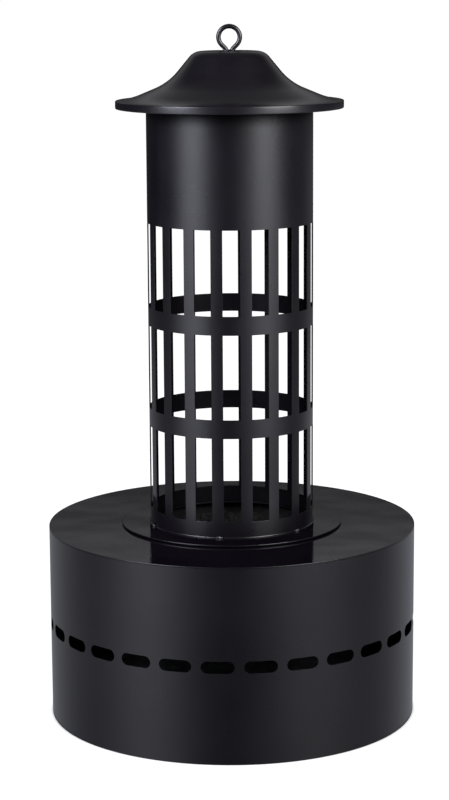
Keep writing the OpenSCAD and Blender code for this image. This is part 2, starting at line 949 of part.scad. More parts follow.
drum_shell();
drum_top();
drum_base();
fire_bowl();
lava_rocks();
burner();
burner_locknut();
air_mixer();
gas_jet();
jet_elbow();
gas_pipe();
gas_valve();
valve_nut();
valve_bracket();
bracket_screws();
bracket_nuts();
supply_pipe();
gas_inlet();
inlet_nut();
igniter_electrode();
igniter_lead();
piezo_igniter();
igniter_nut();
igniter_button();
thermocouple();
control_bezel();
bezel_screws();
valve_spindle();
control_knob();
spindle_washer();
return_spring();
tower_tube();
tower_plate();
tack_welds();
cap_shell();
cap_lugs();
lifting_ring();
ring_weld();
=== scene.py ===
import json
import math

import bmesh
import bpy
from mathutils import Matrix, Vector, noise


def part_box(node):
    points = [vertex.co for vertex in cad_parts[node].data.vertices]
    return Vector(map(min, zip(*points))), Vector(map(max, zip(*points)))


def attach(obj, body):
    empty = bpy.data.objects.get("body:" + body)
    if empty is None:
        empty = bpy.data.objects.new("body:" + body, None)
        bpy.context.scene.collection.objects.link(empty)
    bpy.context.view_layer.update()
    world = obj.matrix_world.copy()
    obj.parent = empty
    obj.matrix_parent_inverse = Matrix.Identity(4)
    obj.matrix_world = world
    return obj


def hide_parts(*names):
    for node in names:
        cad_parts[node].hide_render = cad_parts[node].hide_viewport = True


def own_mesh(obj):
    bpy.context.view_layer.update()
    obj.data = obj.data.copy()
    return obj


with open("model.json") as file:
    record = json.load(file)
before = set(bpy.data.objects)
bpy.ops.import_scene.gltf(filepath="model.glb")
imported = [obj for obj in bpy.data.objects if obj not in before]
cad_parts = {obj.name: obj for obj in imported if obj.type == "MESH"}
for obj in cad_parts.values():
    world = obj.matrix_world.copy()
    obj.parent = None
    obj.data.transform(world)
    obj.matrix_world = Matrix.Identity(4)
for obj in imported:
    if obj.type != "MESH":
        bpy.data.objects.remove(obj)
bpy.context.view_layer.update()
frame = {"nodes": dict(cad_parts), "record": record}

# Lengths are in metres and angles in degrees. A turn is counted about +Z from the front, -Y, towards +X.

# --- Sizes taken from the CAD frame ---

drum_low, drum_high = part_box("drum_shell")
top_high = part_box("drum_top")[1]
plate_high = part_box("tower_plate")[1]
tower_low, tower_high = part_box("tower_tube")
cap_low, cap_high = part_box("cap_shell")
ring_low, ring_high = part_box("lifting_ring")
knob_low, knob_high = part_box("control_knob")
spring_low, spring_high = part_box("return_spring")

MM = 0.001
ROUND_STEPS = 288
SHEET = 1.2 * MM
DRUM_R = drum_high.x
DRUM_TOP_HOLE = 100 * MM
PLATE_R = plate_high.x
PLATE_HOLE = 83 * MM
TOWER_R = tower_high.x
BRIM_R = cap_high.x

# The drum's air slots, from the turn of the first one
SLOT_COUNT = 28
SLOT_TURN = -4.4
SLOT_LENGTH = 35 * MM
SLOT_HEIGHT = 13 * MM
SLOT_Z = top_high.z / 2 - 0.7 * MM

# The tower's bars, from the turn of the first one, and its rows of windows
BAR_COUNT = 18
BAR_TURN = 10.6
BAR_WIDTH = 12.3 * MM
WINDOW_HEIGHT = 90 * MM
BAND_HEIGHT = 20 * MM
ROW_COUNT = 3
FIRST_ROW_Z = plate_high.z + 17.4 * MM

WELD_COUNT = 6
WELD_TURN = -8.8

# The controls at the back, and their holes in the drum's wall
CONTROL_Z = (knob_low.z + knob_high.z) / 2
BUTTON_TURN = 162
INLET_TURN = 196
VALVE_HOLE = 12 * MM
BUTTON_HOLE = 9.2 * MM
INLET_HOLE = 7.2 * MM
BEZEL_SCREW_HOLE = 1.6 * MM
BEZEL_SCREW_REACH = 24 * MM
BEZEL_SCREW_TURNS = (22.5, 202.5)


# --- Mesh helpers ---

def around(radius, turn, z):
    """The point at this radius, turn and height."""
    a = math.radians(turn)
    return Vector((radius * math.sin(a), -radius * math.cos(a), z))


def arc(x, y, radius, start, end, steps):
    """Points along an arc about (x, y), from one angle to another."""
    angles = [math.radians(start + (end - start) * i / steps) for i in range(steps + 1)]
    return [(x + radius * math.cos(a), y + radius * math.sin(a)) for a in angles]


def add_object(name, data):
    """A new object of the scene, from its mesh, light or camera data."""
    made = bpy.data.objects.new(name, data)
    bpy.context.scene.collection.objects.link(made)
    return made


def make_piece(name, points, faces):
    """A smooth-shaded mesh object."""
    mesh = bpy.data.meshes.new(name)
    mesh.from_pydata([tuple(p) for p in points], [], faces)
    mesh.validate()
    mesh.shade_smooth()
    return add_object(name, mesh)


def sculpted_piece(name, mesh):
    """A smooth-shaded object made from a bmesh, which it frees."""
    data = bpy.data.meshes.new(name)
    mesh.to_mesh(data)
    mesh.free()
    data.shade_smooth()
    return add_object(name, data)


def round_edges(piece, width, angle=40):
    """Rounds every edge sharper than the angle and keeps the flat faces flat-looking."""
    bevel = piece.modifiers.new("round_edges", "BEVEL")
    bevel.width = width
    bevel.segments = 2
    bevel.limit_method = "ANGLE"
    bevel.angle_limit = math.radians(angle)
    bevel.harden_normals = True
    bevel.use_clamp_overlap = True


def mark_sharp(piece, angle=35):
    """Keeps edges sharper than the angle crisp under smooth shading."""
    piece.data.set_sharp_from_angle(angle=math.radians(angle))


def dress(piece, body, slot, material, *nodes):
    """Rides a piece on its body, gives it its material, and hides the CAD nodes it stands for. Its slot is
    not used.
    """
    piece.data.materials.append(material)
    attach(piece, body)
    if nodes:
        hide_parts(*nodes)
    return piece


def lathe(name, profile, steps, closed=True):
    """A closed outline of (radius, height) points turned about +Z. A point at radius 0 becomes a pole."""
    points, index = [], []
    for radius, z in profile:
        if radius < 1e-9:
            index.append([len(points)] * steps)
            points.append((0, 0, z))
        else:
            index.append(list(range(len(points), len(points) + steps)))
            points += [around(radius, 360 * k / steps, z) for k in range(steps)]
    faces = []
    rows = len(profile)
    for i in range(rows if closed else rows - 1):
        low, high = index[i], index[(i + 1) % rows]
        for k in range(steps):
            n = (k + 1) % steps
            face = list(dict.fromkeys([low[k], low[n], high[n], high[k]]))
            if len(face) > 2:
                faces.append(face)
    return make_piece(name, points, faces)


def thick_sheet(name, flat_points, faces, outside, inside):
    """A flat drawing of a sheet, with its holes left out, given its two sides and its cut edges.
    outside and inside place a flat point on each side."""
    count = len(flat_points)
    points = [outside(p) for p in flat_points] + [inside(p) for p in flat_points]
    edges = {(a, b) for face in faces for a, b in zip(face, face[1:] + face[:1])}
    cut = [(a, b) for a, b in edges if (b, a) not in edges]
    both = list(faces)
    both += [[i + count for i in reversed(face)] for face in faces]
    both += [[b, a, a + count, b + count] for a, b in sorted(cut)]
    return make_piece(name, points, both)


def rolled_sheet(name, radius, thickness, columns, rows_at, is_hole):
    """A tube of sheet with holes. columns are turns, rows_at(turn) gives the heights along one column,
    and is_hole(column, row) says which cells are left out."""
    flat, index = [], []
    for turn in columns:
        column, last = [], None
        for z in rows_at(turn):
            if last is None or z - last > 1e-7:
                flat.append((turn, z))
                last = z
            column.append(len(flat) - 1)
        index.append(column)
    faces = []
    for c in range(len(columns)):
        here, there = index[c], index[(c + 1) % len(columns)]
        for r in range(len(here) - 1):
            if is_hole(c, r):
                continue
            face = list(dict.fromkeys([here[r], there[r], there[r + 1], here[r + 1]]))
            if len(face) > 2:
                faces.append(face)
    return thick_sheet(
        name, flat, faces,
        lambda p: around(radius, p[0], p[1]),
        lambda p: around(radius - thickness, p[0], p[1]),
    )


def sweep(name, path, radius, sides, across):
    """A round rod along a path. across is a direction that no part of the path runs along."""
    points, faces = [], []
    last = len(path) - 1
    for i, p in enumerate(path):
        along = path[min(i + 1, last)] - path[max(i - 1, 0)]
        u = along.cross(across).normalized()
        v = along.cross(u).normalized()
        for k in range(sides):
            a = 2 * math.pi * k / sides
            points.append(p + radius * (u * math.cos(a) + v * math.sin(a)))
    for i in range(last):
        for k in range(sides):
            n = (k + 1) % sides
            low, high = i * sides, (i + 1) * sides
            faces.append([low + k, high + k, high + n, low + n])
    faces.append(list(range(sides)))
    faces.append([last * sides + k for k in reversed(range(sides))])
    return make_piece(name, points, faces)


# --- Material helpers ---

def math_node(tree, operation, a, b=0.0):
    """A Math node whose inputs are numbers or sockets."""
    node = tree.nodes.new("ShaderNodeMath")
    node.operation = operation
    for socket, value in zip(node.inputs, (a, b)):
        if isinstance(value, (int, float)):
            socket.default_value = value
        else:
            tree.links.new(value, socket)
    return node.outputs[0]


def towards(tree, direction, unit):
    """How far a direction socket points along a unit vector, and 0 where it points away."""
    node = tree.nodes.new("ShaderNodeVectorMath")
    node.operation = "DOT_PRODUCT"
    node.inputs[1].default_value = unit
    tree.links.new(direction, node.inputs[0])
    return math_node(tree, "MAXIMUM", node.outputs["Value"], 0.0)


def smooth_range(tree, value, low, high, to_low, to_high):
    node = tree.nodes.new("ShaderNodeMapRange")
    node.interpolation_type = "SMOOTHSTEP"
    for key, number in zip(("From Min", "From Max", "To Min", "To Max"), (low, high, to_low, to_high)):
        node.inputs[key].default_value = number
    tree.links.new(value, node.inputs["Value"])
    return node.outputs["Result"]


def mix_shaders(tree, share, a, b):
    """Shader a where share is 0 and shader b where it is 1."""
    node = tree.nodes.new("ShaderNodeMixShader")
    if isinstance(share, float):
        node.inputs[0].default_value = share
    else:
        tree.links.new(share, node.inputs[0])
    tree.links.new(a, node.inputs[1])
    tree.links.new(b, node.inputs[2])
    return node.outputs[0]


class Look:
    """A Principled material with short calls for the nodes that its detail needs."""

    def __init__(self, name):
        self.material = bpy.data.materials.new(name)
        self.material.use_nodes = True
        self.tree = self.material.node_tree
        self.shader = self.tree.nodes["Principled BSDF"]
        self.place = self.add("ShaderNodeTexCoord").outputs["Object"]

    def add(self, kind, **settings):
        node = self.tree.nodes.new(kind)
        for key, value in settings.items():
            setattr(node, key, value)
        return node

    def link(self, source, target):
        self.tree.links.new(source, target)

    def noise(self, scale, detail, roughness=0.5):
        node = self.add("ShaderNodeTexNoise")
        node.inputs["Scale"].default_value = scale
        node.inputs["Detail"].default_value = detail
        node.inputs["Roughness"].default_value = roughness
        self.link(self.place, node.inputs["Vector"])
        return node.outputs["Fac"]

    def cells(self, scale):
        """How far a point is from the middle of its cell."""
        node = self.add("ShaderNodeTexVoronoi", feature="F1")
        node.inputs["Scale"].default_value = scale
        self.link(self.place, node.inputs["Vector"])
        return node.outputs["Distance"]

    def remap(self, value, low, high, to_low, to_high):
        node = self.add("ShaderNodeMapRange")
        for key, number in zip(("From Min", "From Max", "To Min", "To Max"), (low, high, to_low, to_high)):
            node.inputs[key].default_value = number
        self.link(value, node.inputs["Value"])
        return node.outputs["Result"]

    def mix(self, share, a, b):
        """Colour a where share is 0 and b where it is 1. Each is a colour or a socket."""
        node = self.add("ShaderNodeMix", data_type="RGBA")
        self.link(share, node.inputs[0])
        for socket, value in ((node.inputs[6], a), (node.inputs[7], b)):
            if isinstance(value, (tuple, list)):
                socket.default_value = (*value[:3], 1)
            else:
                self.link(value, socket)
        return node.outputs[2]

    def edges(self, low=0.52, high=0.6):
        """0 on flat faces and 1 on outside edges."""
        pointed = self.add("ShaderNodeNewGeometry").outputs["Pointiness"]
        return self.remap(pointed, low, high, 0, 1)

    def glossier_at_grazing(self, rough, share):
        """Lowers a roughness, to this share of it, where the surface is seen nearly edge on."""
        weight = self.add("ShaderNodeLayerWeight").outputs["Facing"]
        node = self.add("ShaderNodeMath", operation="MULTIPLY")
        self.link(rough, node.inputs[0])
        self.link(self.remap(weight, 0.45, 0.72, 1.0, share), node.inputs[1])
        return node.outputs[0]

    def shade_shine_under(self, reach):
        """Painted shade: takes the shine away where something within this reach stands over the surface, as
        though it kept off the light from above.
        """
        raised = self.add("ShaderNodeVectorMath", operation="ADD")
        self.link(self.add("ShaderNodeNewGeometry").outputs["Normal"], raised.inputs[0])
        raised.inputs[1].default_value = (0, 0, 0.8)
        opening = self.add("ShaderNodeAmbientOcclusion", samples=8)
        opening.inputs["Distance"].default_value = reach
        self.link(raised.outputs[0], opening.inputs["Normal"])
        shine = self.remap(opening.outputs["AO"], 0.38, 0.83, 0, 0.5)
        self.link(shine, self.shader.inputs["Specular IOR Level"])

    def bump(self, height, strength, distance, before=None):
        node = self.add("ShaderNodeBump")
        node.inputs["Strength"].default_value = strength
        node.inputs["Distance"].default_value = distance
        self.link(height, node.inputs["Height"])
        if before is not None:
            self.link(before, node.inputs["Normal"])
        return node.outputs["Normal"]

    def finish(self, color, rough, normal=None, metallic=0.0, **others):
        self.link(color, self.shader.inputs["Base Color"])
        self.link(rough, self.shader.inputs["Roughness"])
        if normal is not None:
            self.link(normal, self.shader.inputs["Normal"])
        self.shader.inputs["Metallic"].default_value = metallic
        for key, value in others.items():
            self.shader.inputs[key.replace("_", " ")].default_value = value
        return self.material


def powder_coat(name, peel_strength, dent_strength, grazing_share, painted_shade_reach=0):
    """Satin black powder coat: near black, a fine orange peel, and edges rubbed a little lighter."""
    look = Look(name)
    cloud = look.remap(look.noise(9, 3), 0.35, 0.65, 0, 1)
    base = look.mix(cloud, (0.0024, 0.0018, 0.0030), (0.0040, 0.0032, 0.0048))
    grain = look.remap(look.noise(2600, 2), 0.6, 0.75, 0, 0.25)
    base = look.mix(grain, base, (0.012, 0.011, 0.013))
    base = look.mix(look.edges(0.64, 0.8), base, (0.03, 0.029, 0.032))
    rough = look.remap(look.noise(22, 4, 0.6), 0.3, 0.7, 0.26, 0.32)
    rough = look.glossier_at_grazing(rough, grazing_share)
    peel = look.bump(look.noise(650, 2), peel_strength, 0.0004)
    dents = look.bump(look.noise(14, 1), dent_strength, 0.003, before=peel)
    # painted shade: given a reach, the shine fades under whatever stands over the surface
    if painted_shade_reach:
        look.shade_shine_under(painted_shade_reach)
    return look.finish(base, rough, dents)


def hot_paint():
    """Matt black stove paint that heat has greyed in patches."""
    look = Look("hot_paint")
    cloud = look.remap(look.noise(40, 5, 0.6), 0.4, 0.65, 0, 1)
    base = look.mix(cloud, (0.003, 0.003, 0.003), (0.009, 0.008, 0.0075))
    base = look.mix(look.edges(), base, (0.03, 0.027, 0.024))
    rough = look.remap(look.noise(60, 4), 0.3, 0.7, 0.6, 0.8)
    fine = look.bump(look.noise(900, 3), 0.3, 0.0004)
    return look.finish(base, rough, fine, Specular_IOR_Level=0.2)


def zinc_sheet():
    """Galvanised sheet with a faint spangle."""
    look = Look("zinc_sheet")
    spangle = look.remap(look.cells(120), 0.0, 0.9, 0, 1)
    base = look.mix(spangle, (0.2, 0.2, 0.21), (0.3, 0.31, 0.32))
    stain = look.remap(look.noise(18, 5, 0.6), 0.45, 0.7, 0, 0.8)
    base = look.mix(stain, base, (0.11, 0.105, 0.1))
    rough = look.remap(look.noise(90, 3), 0.3, 0.7, 0.42, 0.62)
    return look.finish(base, rough, look.bump(look.cells(120), 0.15, 0.0003), metallic=0.9)


def bright_metal(name, dark, light, rough_low, rough_high, grain=900):
    """A bare or plated metal with fine tool marks, a little tarnish and paler edges."""
    look = Look(name)
    tarnish = look.remap(look.noise(60, 5, 0.6), 0.4, 0.7, 0, 1)
    base = look.mix(tarnish, light, dark)
    base = look.mix(look.edges(0.53, 0.62), base, tuple(min(1, 1.15 * c) for c in light))
    marks = look.noise(grain, 3, 0.6)
    rough = look.remap(marks, 0.3, 0.7, rough_low, rough_high)
    return look.finish(base, rough, look.bump(marks, 0.1, 0.0002), metallic=1.0)


def heat_tinted_steel():
    """Stainless steel whose colour goes to straw and blue where the flame heats it."""
    look = Look("heat_tinted_steel")
    heat = look.remap(look.noise(45, 3), 0.4, 0.62, 0, 1)
    base = look.mix(heat, (0.46, 0.40, 0.32), (0.24, 0.22, 0.26))
    rough = look.remap(look.noise(400, 3), 0.3, 0.7, 0.28, 0.46)
    return look.finish(base, rough, look.bump(look.noise(700, 2), 0.1, 0.0002), metallic=1.0)


def lava():
    """Dark porous lava rock: pits of several sizes, and dusty high spots."""
    look = Look("lava")
    cloud = look.remap(look.noise(160, 5, 0.65), 0.35, 0.7, 0, 1)
    base = look.mix(cloud, (0.0015, 0.0013, 0.0012), (0.0075, 0.0065, 0.006))
    base = look.mix(look.edges(0.5, 0.62), base, (0.022, 0.019, 0.017))
    rough = look.remap(look.noise(500, 3), 0.3, 0.7, 0.7, 0.95)
    pits = look.bump(look.remap(look.cells(700), 0.0, 0.5, 0, 1), 0.8, 0.0009)
    fine = look.bump(look.noise(2200, 3), 0.5, 0.0003, before=pits)
    return look.finish(base, rough, fine, Specular_IOR_Level=0.15)


def moulded_plastic(name, color, rough_low, rough_high):
    """Plastic or paint with a fine texture, clouded and rubbed a little paler."""
    look = Look(name)
    paler = tuple(1.6 * c + 0.004 for c in color)
    base = look.mix(look.remap(look.noise(30, 3), 0.35, 0.65, 0, 0.5), color, paler)
    base = look.mix(look.edges(), base, paler)
    rough = look.remap(look.noise(120, 3), 0.3, 0.7, rough_low, rough_high)
    return look.finish(base, rough, look.bump(look.noise(3000, 2), 0.25, 0.0001))


def glazed_ceramic():
    """Cream glaze with soot on it."""
    look = Look("glazed_ceramic")
    soot = look.remap(look.noise(120, 4), 0.5, 0.75, 0, 0.7)
    base = look.mix(soot, (0.74, 0.71, 0.64), (0.3, 0.26, 0.22))
    rough = look.remap(look.noise(300, 2), 0.3, 0.7, 0.12, 0.3)
    return look.finish(base, rough, look.bump(look.noise(500, 2), 0.08, 0.0002))


SHEET_COAT = powder_coat("powder_coat", 0.12, 0.12, 0.15)
# The tower's coat carries painted shade: its shine fades just under the cap's brim.
TOWER_COAT = powder_coat("tower_coat", 0.12, 0.12, 0.15, painted_shade_reach=30 * MM)
CAP_COAT = powder_coat("cap_coat", 0.12, 0.12, 0.8)
SMOOTH_COAT = powder_coat("smooth_coat", 0.03, 0.0, 0.8)
INDEX_PAINT = moulded_plastic("index_paint", (0.45, 0.45, 0.43), 0.4, 0.55)

SLOT_LOOKS = {
    "black_powder_coat": SHEET_COAT,
    "bowl_enamel": hot_paint(),
    "zinc_sheet": zinc_sheet(),
    "stainless_steel": heat_tinted_steel(),
    "zinc_plate": bright_metal("zinc_plate", (0.42, 0.42, 0.42), (0.62, 0.63, 0.64), 0.22, 0.4),
    "cast_aluminium": bright_metal(
        "cast_aluminium", (0.42, 0.42, 0.41), (0.6, 0.6, 0.59), 0.42, 0.6, grain=300,
    ),
    "aluminium_tube": bright_metal("aluminium_tube", (0.55, 0.55, 0.55), (0.7, 0.7, 0.7), 0.25, 0.42),
    "brass": bright_metal("brass", (0.42, 0.28, 0.1), (0.7, 0.5, 0.2), 0.2, 0.38),
    "lava_rock": lava(),
    "ceramic": glazed_ceramic(),
    "copper": bright_metal("copper", (0.4, 0.18, 0.1), (0.66, 0.33, 0.2), 0.25, 0.45),
    "black_plastic": moulded_plastic("black_plastic", (0.012, 0.012, 0.013), 0.38, 0.5),
    "button_plastic": moulded_plastic("button_plastic", (0.16, 0.008, 0.006), 0.25, 0.36),
    "lead_insulation": moulded_plastic("lead_insulation", (0.01, 0.01, 0.01), 0.5, 0.65),
}


# --- Drum ---

def slot_half_height(offset):
    """Half the height of a slot's opening at this distance from its middle."""
    end_r = SLOT_HEIGHT / 2
    past = abs(offset) - (SLOT_LENGTH / 2 - end_r)
    if past <= 0:
        return end_r
    return math.sqrt(max(end_r * end_r - past * past, 0))


def slot_offsets():
    """Distances from a slot's middle at which the sheet has a column, across one slot and one gap."""
    end_r = SLOT_HEIGHT / 2
    straight = SLOT_LENGTH / 2 - end_r
    half = [straight * i / 3 for i in range(1, 4)]
    half += [straight + end_r * math.sin(math.radians(a)) for a in (15, 30, 45, 60, 75, 90)]
    slot = [-x for x in reversed(half)] + [0] + half
    gap = 2 * math.pi * DRUM_R / SLOT_COUNT - SLOT_LENGTH
    return slot + [SLOT_LENGTH / 2 + gap * k / 4 for k in (1, 2, 3)], len(slot) - 1


def cut_holes(piece, holes):
    """Cuts round holes through a piece. Each is (turn, sideways, height, radius) on the drum's wall."""
    mesh = bmesh.new()
    for turn, sideways, z, radius in holes:
        place = Matrix.Translation(around(DRUM_R, turn, z)) @ Matrix.Rotation(math.radians(turn), 4, "Z")
        place = place @ Matrix.Translation((sideways, 0, 0)) @ Matrix.Rotation(math.radians(90), 4, "X")
        bmesh.ops.create_cone(mesh, cap_ends=True, segments=48, radius1=radius, radius2=radius,
                              depth=20 * MM, matrix=place)
    data = bpy.data.meshes.new("cutter")
    mesh.to_mesh(data)
    mesh.free()
    cutter = add_object("cutter", data)
    cut = piece.modifiers.new("cut", "BOOLEAN")
    cut.object = cutter
    cut.solver = "EXACT"
    bpy.context.view_layer.update()
    whole = bpy.data.meshes.new_from_object(piece.evaluated_get(bpy.context.evaluated_depsgraph_get()))
    piece.modifiers.remove(cut)
    piece.data = whole
    piece.data.shade_smooth()
    bpy.data.objects.remove(cutter)


def control_holes():
    """The holes in the drum's wall for the valve, its bezel's screws, the ignition unit and the inlet."""
    holes = [
        (180, 0, CONTROL_Z, VALVE_HOLE),
        (BUTTON_TURN, 0, CONTROL_Z, BUTTON_HOLE),
        (INLET_TURN, 0, CONTROL_Z, INLET_HOLE),
    ]
    for angle in BEZEL_SCREW_TURNS:
        a = math.radians(angle)
        sideways = BEZEL_SCREW_REACH * math.cos(a)
        height = CONTROL_Z + BEZEL_SCREW_REACH * math.sin(a)
        holes.append((180, sideways, height, BEZEL_SCREW_HOLE))
    return holes


def build_drum_shell():
    """The drum's wall, with its row of slots and the controls' holes."""
    offsets, slot_columns = slot_offsets()
    per_metre = 180 / math.pi / DRUM_R
    columns, opening = [], {}
    for i in range(SLOT_COUNT):
        middle = SLOT_TURN + i * 360 / SLOT_COUNT
        for x in offsets:
            columns.append(middle + x * per_metre)
            opening[columns[-1]] = slot_half_height(x) if abs(x) <= SLOT_LENGTH / 2 else 0
    lowest, highest = drum_low.z, drum_high.z
    reach = SLOT_HEIGHT / 2 + 6 * MM

    def rows_at(turn):
        half = opening[turn]
        return [lowest, (lowest + SLOT_Z) / 2, SLOT_Z - reach, SLOT_Z - half,
                SLOT_Z + half, SLOT_Z + reach, (highest + SLOT_Z) / 2, highest]

    def is_hole(column, row):
        return row == 3 and column % len(offsets) < slot_columns

    piece = rolled_sheet("drum_shell_look", DRUM_R, SHEET, columns, rows_at, is_hole)
    cut_holes(piece, control_holes())
    round_edges(piece, 0.35 * MM)
    return dress(piece, "base", "black_powder_coat", SHEET_COAT, "drum_shell")


def build_ring_plate(name, body, node, radius, hole, rings):
    """A flat ring of sheet with rounded edges, in place of a CAD node."""
    low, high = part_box(node)
    radii = [hole + (radius - hole) * i / rings for i in range(rings + 1)]
    profile = [(r, low.z) for r in radii] + [(r, high.z) for r in reversed(radii)]
    piece = lathe(name, profile, ROUND_STEPS)
    round_edges(piece, 0.3 * (high.z - low.z))
    return dress(piece, body, "black_powder_coat", SHEET_COAT, node)


# --- Rocks ---

def islands(node):
    """The separate solids of a CAD node, each as its middle and its reach."""
    mesh = bmesh.new()
    mesh.from_mesh(frame["nodes"][node].data)
    bmesh.ops.remove_doubles(mesh, verts=mesh.verts, dist=1e-6)
    left, found = set(mesh.verts), []
    while left:
        start = min(left, key=lambda v: v.index)
        group, queue = {start}, [start]
        while queue:
            for edge in queue.pop().link_edges:
                for v in edge.verts:
                    if v not in group:
                        group.add(v)
                        queue.append(v)
        left -= group
        middle = sum((v.co for v in group), Vector()) / len(group)
        found.append((middle, max((v.co - middle).length for v in group)))
    mesh.free()
    return sorted(found, key=lambda item: tuple(round(c, 5) for c in item[0]))


def build_rocks():
    """Each CAD rock gets a porous mesh of the same size, with flats, lumps and pits."""
    mesh = bmesh.new()
    for number, (middle, reach) in enumerate(islands("lava_rocks")):
        made = bmesh.ops.create_icosphere(mesh, subdivisions=4, radius=1)["verts"]
        shift = Vector((number * 3.1, number * 1.7, number * 5.3))
        squash = Vector((1, 0.8 + 0.2 * noise.noise(shift), 0.82))
        turn = Matrix.Rotation(number * 2.4, 3, "Z")
        for v in made:
            direction = v.co.normalized()
            lump = noise.noise(direction * 1.3 + shift)
            rough = noise.fractal(direction * 3.2 + shift, 0.7, 2.2, 4)
            pit = max(0, noise.cell(direction * 4.5 + shift) - 0.6) * noise.noise(direction * 9 + shift)
            size = 0.86 + 0.16 * lump + 0.06 * rough - 0.1 * abs(pit)
            local = direction * min(size, 0.99) * reach
            v.co = middle + turn @ Vector((local.x * squash.x, local.y * squash.y, local.z * squash.z))
    piece = sculpted_piece("lava_rocks_look", mesh)
    return dress(piece, "base", "lava_rock", SLOT_LOOKS["lava_rock"], "lava_rocks")


# --- Tower ---

def build_tower_tube():
    """The tower's tube, with its three rows of windows."""
    pitch = 360 / BAR_COUNT
    bar = pitch * BAR_WIDTH * BAR_COUNT / (2 * math.pi * (TOWER_R - SHEET / 2))
    bar_steps, window_steps = 3, 5
    columns = []
    for i in range(BAR_COUNT):
        start = BAR_TURN + i * pitch - bar / 2
        columns += [start + bar * k / bar_steps for k in range(bar_steps)]
        columns += [start + bar + (pitch - bar) * k / window_steps for k in range(window_steps)]
    rows = [tower_low.z]
    for row in range(ROW_COUNT):
        bottom = FIRST_ROW_Z + row * (WINDOW_HEIGHT + BAND_HEIGHT)
        rows += [bottom, bottom + WINDOW_HEIGHT]
    sleeve_steps = 3
    rows += [rows[-1] + (tower_high.z - rows[-1]) * k / sleeve_steps for k in range(1, sleeve_steps + 1)]

    def is_hole(column, row):
        return column % (bar_steps + window_steps) >= bar_steps and row % 2 == 1 and row < 2 * ROW_COUNT

    piece = rolled_sheet("tower_tube_look", TOWER_R, SHEET, columns, lambda turn: rows, is_hole)
    round_edges(piece, 0.25 * MM)
    return dress(piece, "lantern", "black_powder_coat", TOWER_COAT, "tower_tube")


def painted_dark_reflection():
    """Painted dark reflection: a near-black look that is clear from behind."""
    look = Look("painted_dark_reflection")
    dark_reflection_look = look.mix(look.noise(90, 3), (0, 0, 0), (0.002, 0.002, 0.002))
    material = look.finish(dark_reflection_look, look.noise(30, 2), Specular_IOR_Level=0.0)
    from_behind = look.add("ShaderNodeNewGeometry").outputs["Backfacing"]
    clear = look.add("ShaderNodeBsdfTransparent").outputs[0]
    one_sided = mix_shaders(look.tree, from_behind, look.shader.outputs[0], clear)
    look.link(one_sided, look.tree.nodes["Material Output"].inputs[0])
    return material


def build_dark_reflection_tube(tower, name, outline, closed, dark_reflection_look):
    """A black tube that only mirrored rays meet, a painted dark reflection, so that the plate mirrors the
    tower as dark.
    """
    flag = lathe(name, outline, 144, closed)
    flag.data.materials.append(dark_reflection_look)
    flag.visible_camera = False
    flag.visible_diffuse = False
    flag.visible_transmission = False
    flag.visible_shadow = False
    flag.parent = tower


def build_dark_reflection_tubes(tower):
    """Painted dark reflections: one black tube stands just inside the tower, and one just outside it that the
    tower's own light passes. Mirrored rays that meet them find black.
    """
    dark_reflection_look = painted_dark_reflection()
    top = tower_high.z - 60 * MM
    radius, low = TOWER_R - 4 * MM, FIRST_ROW_Z - 4 * MM
    ring = [(radius - MM, low), (radius, low), (radius, top), (radius - MM, top)]
    build_dark_reflection_tube(tower, "inner_dark_reflection", ring, True, dark_reflection_look)
    radius, low = TOWER_R + 0.6 * MM, plate_high.z + 1.5 * MM
    build_dark_reflection_tube(tower, "outer_dark_reflection", [(radius, low), (radius, top)], False, dark_reflection_look)


def build_foot_fillet():
    """The thin bead of coat where the tube meets its plate."""
    reach, sunk = 0.9 * MM, 0.3 * MM
    foot = [(TOWER_R - sunk, plate_high.z - sunk), (TOWER_R + reach, plate_high.z - sunk)]
    profile = foot + arc(TOWER_R + reach, plate_high.z + reach, reach, -90, -180, 6)
    profile += [(TOWER_R - sunk, plate_high.z + reach)]
    piece = lathe("foot_fillet", profile, ROUND_STEPS)
    return dress(piece, "lantern", "black_powder_coat", SHEET_COAT)


def build_tack_welds():
    """Short beads of weld at the tower's foot, each of three blobs, flattened on the plate and the tube."""
    blobs = ((0, 2.7), (1.7, 1.8), (-1.3, 2.0))
    clear = 0.02 * MM
    mesh = bmesh.new()
    for i in range(WELD_COUNT):
        turn = WELD_TURN + i * 360 / WELD_COUNT
        for k, (aside, radius) in enumerate(blobs):
            made = bmesh.ops.create_icosphere(mesh, subdivisions=4, radius=1)["verts"]
            shift = Vector((i * 7.3, k * 3.9, 1.5))
            centre = around(TOWER_R + 0.8 * MM, turn + aside, plate_high.z + 0.4 * MM)
            size = (radius + 0.25 * noise.noise(shift)) * MM
            for v in made:
                swell = 1 + 0.07 * noise.noise(v.co * 1.3 + shift)
                p = centre + v.co * size * swell
                p.z = max(p.z, plate_high.z + clear)
                flat = Vector((p.x, p.y, 0))
                if flat.length < TOWER_R + clear:
                    flat = flat.normalized() * (TOWER_R + clear)
                    p.x, p.y = flat.x, flat.y
                v.co = p
    piece = sculpted_piece("tack_welds_look", mesh)
    return dress(piece, "lantern", "black_powder_coat", SMOOTH_COAT, "tack_welds")


# --- Cap ---

